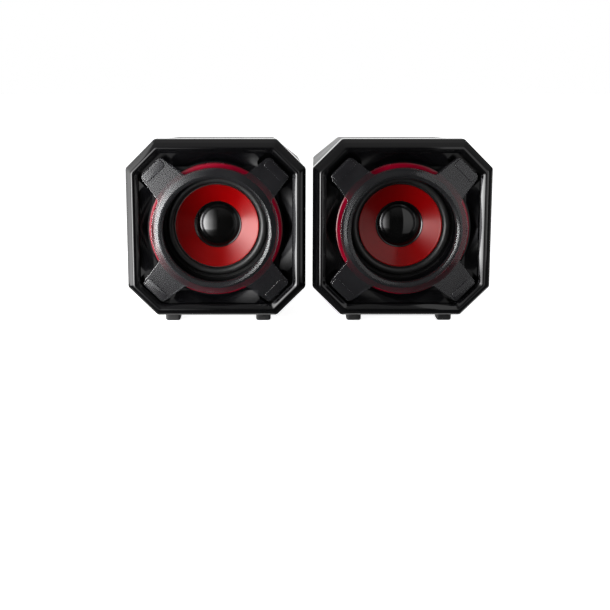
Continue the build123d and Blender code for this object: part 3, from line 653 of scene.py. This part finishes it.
LIP = 6.35
LIP_BACK = 6.75
LIP_OUTER = 25.7
LIP_INNER = 19.7
CONE_SEAT = 19.7
CONE_SEAT_DEPTH = 5.9
CONE_NECK = 10.1
CONE_NECK_DEPTH = 11.1
DOME_R = 10.75
DOME_HEIGHT = 3.4
CAP_SINK = 0.45
CAP_SKIN = 0.4
CAP_STEPS = 144
DOME_STEPS = 30
ROLL_MIDDLE = 22.7
ROLL_R = 1.9
CONE_EDGE = 20.4
CAP_R = 11.2


def arc(centre, radius, start, end, steps):
    return [
        (centre[0] + radius * cos(radians(start + (end - start) * k / steps)),
         centre[1] - radius * sin(radians(start + (end - start) * k / steps)))
        for k in range(steps + 1)
    ]


def make_surround(side, place):
    """Half roll that stretches between the cone and the basket."""
    profile = [(LIP_OUTER, LIP_BACK), (LIP_OUTER, LIP), (ROLL_MIDDLE + ROLL_R + 0.25, LIP)]
    profile += arc((ROLL_MIDDLE, LIP), ROLL_R, 0, 180, 22)
    profile += [(CONE_EDGE - 0.1, LIP), (LIP_INNER, LIP), (LIP_INNER, LIP_BACK)]
    profile += arc((ROLL_MIDDLE, LIP_BACK), ROLL_R - 0.4, 180, 0, 18)
    bm = bmesh.new()
    lathe(bm, profile, place)
    piece = finish_mesh(f"{side}_roll_surround", bm, None, MATERIALS["surround_rubber"],
                        [f"{side}_surround"], sharp=50)
    blend_radially(piece, side, place, 25.2, 20.6)


def blend_radially(piece, side, place, fixed_r, moving_r):
    """Points at fixed_r stay with the cabinet and points at moving_r follow the cone."""
    x0, y0, z0 = (c * MM for c in place)
    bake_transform(piece, f"{side}_speaker", f"{side}_cone_assembly", start=(x0, y0, z0), end=(x0, y0 + MM, z0))
    weights = piece.data.attributes["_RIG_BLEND"]
    for index, vertex in enumerate(piece.data.vertices):
        radius = hypot(vertex.co.x - x0, vertex.co.z - z0) / MM
        weights.data[index].value = smooth(fixed_r, moving_r, radius)


def cone_depth(radius):
    """Depth of the cone's front face at a radius."""
    slope = (CONE_NECK_DEPTH - CONE_SEAT_DEPTH) / (CONE_SEAT - CONE_NECK)
    return CONE_SEAT_DEPTH + slope * (CONE_SEAT - radius)


def make_cone(side, place):
    front = [
        (CONE_EDGE, 6.3), (CONE_EDGE, 6.0), (CONE_EDGE - 0.12, 5.82), (CONE_EDGE - 0.5, 5.8),
        (CONE_SEAT, 5.95),
    ]
    for k in range(1, 12):
        radius = CONE_SEAT - k * 0.8
        front.append((radius, cone_depth(radius) + 0.02))
    back = [(10.4, 11.9), (11.4, 11.2), (19.4, 6.6), (19.9, 6.3)]
    bm = bmesh.new()
    lathe(bm, front + back, place)
    finish_mesh(f"{side}_red_cone", bm, f"{side}_cone_assembly", MATERIALS["cone_red"],
                [f"{side}_cone"], sharp=40)


def make_cap(side, place):
    """Domed dust cap standing in a narrow glossy skirt that is glued to the cone."""
    base = cone_depth(CAP_R) - CAP_SINK
    sphere_r = (DOME_R ** 2 + DOME_HEIGHT ** 2) / (2 * DOME_HEIGHT)
    centre = base - DOME_HEIGHT + sphere_r
    half_angle = asin(DOME_R / sphere_r)
    steps = DOME_STEPS
    dome = [(sphere_r * sin(half_angle * k / steps), centre - sphere_r * cos(half_angle * k / steps))
            for k in range(1, steps + 1)]
    skirt = [(10.9, base + 0.1), (11.05, base + 0.0), (11.3, base - 0.16), (11.5, cone_depth(11.5) - 0.14),
             (11.62, cone_depth(11.62) - 0.02), (11.6, cone_depth(11.6) + 0.1), (10.6, base + 0.5)]
    inner_r = sphere_r - CAP_SKIN
    inside = []
    for k in range(steps, 0, -3):
        angle = half_angle * 0.96 * k / steps
        inside.append((inner_r * sin(angle), centre - inner_r * cos(angle)))
    count = CAP_STEPS
    bm = bmesh.new()
    rows = add_rings(bm, lathe_rings(dome + skirt + inside, place, count))
    x0, y0, z0 = place
    tip = bm.verts.new((x0, y0 + base - DOME_HEIGHT, z0))
    inner_tip = bm.verts.new((x0, y0 + base - DOME_HEIGHT + CAP_SKIN, z0))
    for i in range(count):
        j = (i + 1) % count
        bm.faces.new((rows[0][i], rows[0][j], tip))
        bm.faces.new((rows[-1][j], rows[-1][i], inner_tip))
    finish_mesh(f"{side}_dome_cap", bm, f"{side}_cone_assembly", MATERIALS["cap_black"],
                [f"{side}_dust_cap"], sharp=60)


def make_spider(side, place):
    """Corrugated cloth disc between the coil former and the basket's shelf."""
    waves, inner_r, outer_r, shelf_r = 5, 10.2, 17.2, 18.55
    front = []
    steps = 60
    for k in range(steps + 1):
        t = k / steps
        radius = inner_r + (outer_r - inner_r) * t
        front.append((radius, 13.75 - 0.42 * cos(2 * pi * waves * t) * sin(pi * min(1.0, 6 * t) / 2)))
    front += [(outer_r + 0.3, 13.7), (shelf_r, 13.9), (shelf_r, 14.15)]
    back = [(radius, depth + 0.25) for radius, depth in reversed(front[:-2])]
    bm = bmesh.new()
    lathe(bm, front + back, place)
    piece = finish_mesh(f"{side}_cloth_spider", bm, None, MATERIALS["spider_cloth"],
                        [f"{side}_spider"], sharp=70)
    blend_radially(piece, side, place, 17.0, 10.6)


# --- cabinet ----------------------------------------------------------------------------------------

CABINET_ROUND = 1.8
CABINET_SPANS = 8
FOOT_WIDTH = 7.2
FOOT_ROUND = 1.4


def make_cabinet(side, place):
    rings = []
    for depth, inset in ((BEZEL_BACK + 0.05, WALL), (BEZEL_BACK + 0.05, 0.55), (BEZEL_BACK + 0.3, 0.2),
                         (BEZEL_BACK + 0.7, 0.0)):
        rings.append(placed(cabinet_octagon(depth, inset, CABINET_ROUND), place, depth))
    for k in range(1, CABINET_SPANS):
        depth = BEZEL_BACK + (CABINET_BACK - BEZEL_BACK) * k / CABINET_SPANS
        rings.append(placed(cabinet_octagon(depth, 0, CABINET_ROUND), place, depth))
    for depth, inset in ((CABINET_BACK - 0.8, 0.0), (CABINET_BACK - 0.25, 0.2), (CABINET_BACK, 0.7),
                         (CABINET_BACK, WALL - 0.3), (CABINET_BACK - 0.3, WALL)):
        rings.append(placed(cabinet_octagon(depth, inset, CABINET_ROUND), place, depth))
    bm = bmesh.new()
    add_rings(bm, rings, close_profile=True)
    finish_mesh(f"{side}_cabinet", bm, f"{side}_speaker", MATERIALS["cabinet_black"],
                [f"{side}_cabinet_shell"])


def make_foot_set(side, place):
    low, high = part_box(f"{side}_feet")
    half = FOOT_WIDTH / 2
    bm = bmesh.new()
    for x in (low.x / MM + half, high.x / MM - half):
        for y in (low.y / MM + half, high.y / MM - half):
            loops = []
            for inset, z in ((0.9, 0.0), (0.35, 0.12), (0.0, 0.6), (0.0, high.z / MM)):
                outline = soften([
                    (-half + inset, -half + inset), (half - inset, -half + inset),
                    (half - inset, half - inset), (-half + inset, half - inset),
                ], FOOT_ROUND, 5)
                loops.append([(x + p, y + q, z) for p, q in outline])
            add_rings(bm, loops, cap_first=True, cap_last=True)
    finish_mesh(f"{side}_rubber_feet", bm, f"{side}_speaker", MATERIALS["foot_rubber"],
                [f"{side}_feet"])


# --- what keeps its CAD shape -------------------------------------------------------------------------

KEPT_SLOTS = {
    "baffle": "baffle_black", "cover_screws": "black_screws", "rear_panel": "panel_black",
    "rear_screws": "black_screws", "port_tube": "port_black", "link_gland": "gland_rubber",
    "input_gland": "gland_rubber", "driver_gasket": "foam", "basket": "basket_steel",
    "driver_screws": "zinc_steel", "coil_former": "former_aluminium", "voice_coil": "coil_copper",
    "spider": "spider_cloth", "top_plate": "zinc_steel", "magnet": "ferrite", "yoke": "zinc_steel",
    "terminal_strip": "phenolic", "speaker_wires": "wire_red", "amp_board": "board_green",
    "board_parts": "board_parts", "volume_pot": "pot_metal", "pot_shaft": "pot_metal",
    "pot_nut": "zinc_steel", "volume_knob": "knob_black",
}


def dress_cad_nodes():
    for name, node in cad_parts.items():
        part = name.split("_", 1)[1]
        if part in KEPT_SLOTS:
            node.data.materials.clear()
            node.data.materials.append(MATERIALS[KEPT_SLOTS[part]])


# --- studio -------------------------------------------------------------------------------------------

CAMERA_DISTANCE = 0.422
CAMERA_HEIGHT = 0.0791
CAMERA_ASIDE = 0.0118
CAMERA_PITCH = 8.0
CAMERA_TURN = -0.216
LENS = 52.6
SHIFT_X = 0.028
SHIFT_Y = -0.193
BACK_WALL_LEVEL = 1.3
ROOM_LOW = 0.03
ROOM_HIGH = 0.3
FLOOR_REACH = 3.0
FLOOR_GLOW = 0.93


def make_camera():
    """Level-headed product view from a little above, with the pair in the upper half of the picture."""
    low, high = cad_bounds
    centre = (low + high) / 2
    scene = bpy.context.scene
    data = bpy.data.cameras.new("camera")
    camera = bpy.data.objects.new("camera", data)
    scene.collection.objects.link(camera)
    scene.camera = camera
    data.sensor_width = 36.0
    data.lens = LENS
    _, y0, z0 = PLACE["left"]
    camera.location = (centre.x - CAMERA_ASIDE, y0 * MM - CAMERA_DISTANCE, z0 * MM + CAMERA_HEIGHT)
    camera.rotation_euler = (radians(90 - CAMERA_PITCH), 0, radians(CAMERA_TURN))
    data.shift_x = SHIFT_X
    data.shift_y = SHIFT_Y
    data.clip_start = 0.01


def card(name, corners, level, gradient):
    """Soft light panel from four corners (mm): emission follows colour stops along and across the panel."""
    bm = bmesh.new()
    face = bm.faces.new([bm.verts.new(Vector(c) * MM) for c in corners])
    layer = bm.loops.layers.uv.new("panel")
    for loop, uv in zip(face.loops, ((0, 0), (1, 0), (1, 1), (0, 1))):
        loop[layer].uv = uv
    mesh = bpy.data.meshes.new(name)
    bm.to_mesh(mesh)
    bm.free()
    panel = bpy.data.objects.new(name, mesh)
    bpy.context.scene.collection.objects.link(panel)
    panel.visible_camera = False
    panel.visible_shadow = False
    material = bpy.data.materials.new(name)
    material.use_nodes = True
    nodes, links = material.node_tree.nodes, material.node_tree.links
    nodes.clear()
    output = nodes.new("ShaderNodeOutputMaterial")
    emission = nodes.new("ShaderNodeEmission")
    uv = nodes.new("ShaderNodeUVMap")
    uv.uv_map = "panel"
    split = nodes.new("ShaderNodeSeparateXYZ")
    links.new(uv.outputs["UV"], split.inputs["Vector"])
    factors = []
    for axis, stops in zip("XY", gradient):
        ramp = nodes.new("ShaderNodeValToRGB")
        elements = ramp.color_ramp.elements
        while len(elements) < len(stops):
            elements.new(0.5)
        for element, (position, value) in zip(elements, stops):
            element.position = position
            element.color = (value, value, value, 1)
        links.new(split.outputs[axis], ramp.inputs["Fac"])
        factors.append(ramp.outputs["Color"])
    product = nodes.new("ShaderNodeMath")
    product.operation = "MULTIPLY"
    links.new(factors[0], product.inputs[0])
    links.new(factors[1], product.inputs[1])
    strength = nodes.new("ShaderNodeMath")
    strength.operation = "MULTIPLY"
    strength.inputs[1].default_value = level
    links.new(product.outputs[0], strength.inputs[0])
    links.new(strength.outputs[0], emission.inputs["Strength"])
    links.new(emission.outputs["Emission"], output.inputs["Surface"])
    mesh.materials.append(material)


def make_world():
    """White to look at; a dim room with a pale wall behind the speakers for everything it lights."""
    world = bpy.data.worlds.new("studio")
    bpy.context.scene.world = world
    world.use_nodes = True
    nodes, links = world.node_tree.nodes, world.node_tree.links
    nodes.clear()
    output = nodes.new("ShaderNodeOutputWorld")
    seen = nodes.new("ShaderNodeBackground")
    seen.inputs["Color"].default_value = (1, 1, 1, 1)
    around = nodes.new("ShaderNodeBackground")
    around.inputs["Color"].default_value = (1, 1, 1, 1)
    coordinates = nodes.new("ShaderNodeTexCoord")
    split = nodes.new("ShaderNodeSeparateXYZ")
    links.new(coordinates.outputs["Generated"], split.inputs["Vector"])
    back = nodes.new("ShaderNodeMapRange")
    back.inputs["From Min"].default_value = 0.72
    back.inputs["From Max"].default_value = 0.95
    back.inputs["To Min"].default_value = 0.0
    back.inputs["To Max"].default_value = BACK_WALL_LEVEL
    links.new(split.outputs["Y"], back.inputs["Value"])
    up = nodes.new("ShaderNodeMapRange")
    up.inputs["From Min"].default_value = 0.2
    up.inputs["From Max"].default_value = 0.9
    up.inputs["To Min"].default_value = ROOM_LOW
    up.inputs["To Max"].default_value = ROOM_HIGH
    links.new(split.outputs["Z"], up.inputs["Value"])
    total = nodes.new("ShaderNodeMath")
    links.new(back.outputs["Result"], total.inputs[0])
    links.new(up.outputs["Result"], total.inputs[1])
    links.new(total.outputs[0], around.inputs["Strength"])
    path = nodes.new("ShaderNodeLightPath")
    mix = nodes.new("ShaderNodeMixShader")
    links.new(path.outputs["Is Camera Ray"], mix.inputs["Fac"])
    links.new(around.outputs["Background"], mix.inputs[1])
    links.new(seen.outputs["Background"], mix.inputs[2])
    links.new(mix.outputs["Shader"], output.inputs["Surface"])


def make_floor():
    far = FLOOR_REACH
    bm = bmesh.new()
    corners = ((-far, -far, 0), (far, -far, 0), (far, far, 0), (-far, far, 0))
    bm.faces.new([bm.verts.new(p) for p in corners])
    mesh = bpy.data.meshes.new("floor")
    bm.to_mesh(mesh)
    bm.free()
    floor = bpy.data.objects.new("floor", mesh)
    bpy.context.scene.collection.objects.link(floor)
    material = plastic("floor_white", (0.8, 0.8, 0.8), (0.82, 0.82, 0.82), (0.55, 0.6), 400.0, 0.00001,
                       Emission_Color=(1, 1, 1, 1), Emission_Strength=FLOOR_GLOW)
    mesh.materials.append(material)
    floor.visible_glossy = False
    floor.visible_diffuse = False
    floor.visible_shadow = False


def upright(a, b, low, high):
    """Corners of a vertical panel from plan point a to plan point b."""
    return [(*a, low), (*b, low), (*b, high), (*a, high)]


def make_studio():
    bpy.context.scene.view_settings.view_transform = "Standard"
    make_world()
    make_floor()
    card("left_softbox", upright((-59, -264), (-420, -60), -160, 240), 16.0,
         (((0.0, 0.0), (0.12, 0.08), (0.26, 0.35), (0.4, 1.0), (0.58, 0.9), (0.72, 0.35), (1.0, 0.2)),
          ((0.0, 0.02), (0.2, 0.1), (0.28, 0.35), (0.31, 1.0), (0.56, 1.0), (0.75, 0.45), (1.0, 0.1))))
    card("back_left_softbox", upright((-420, -50), (-330, 330), -80, 300), 3.0,
         (((0.0, 0.6), (0.3, 1.0), (0.5, 0.6), (1.0, 0.05)), ((0.0, 1.0), (1.0, 0.6))))
    card("right_softbox", upright((77, -128), (330, -60), -30, 240), 1.0,
         (((0.0, 1.0), (0.5, 1.0), (1.0, 1.0)), ((0.0, 0.5), (0.3, 1.0), (0.8, 1.0), (1.0, 0.6))))
    card("side_softbox", upright((500, -120), (500, 60), -60, 300), 2.0,
         (((0.0, 0.8), (1.0, 1.0)), ((0.0, 1.0), (1.0, 0.7))))


# --- build --------------------------------------------------------------------------------------------

make_camera()
make_studio()
dress_cad_nodes()
for side in SIDES:
    place = PLACE[side]
    make_bezel(side, place)
    make_accent_ring(side, place)
    make_cover(side, place)
    make_surround(side, place)
    make_cone(side, place)
    make_cap(side, place)
    make_spider(side, place)
    make_cabinet(side, place)
    make_foot_set(side, place)
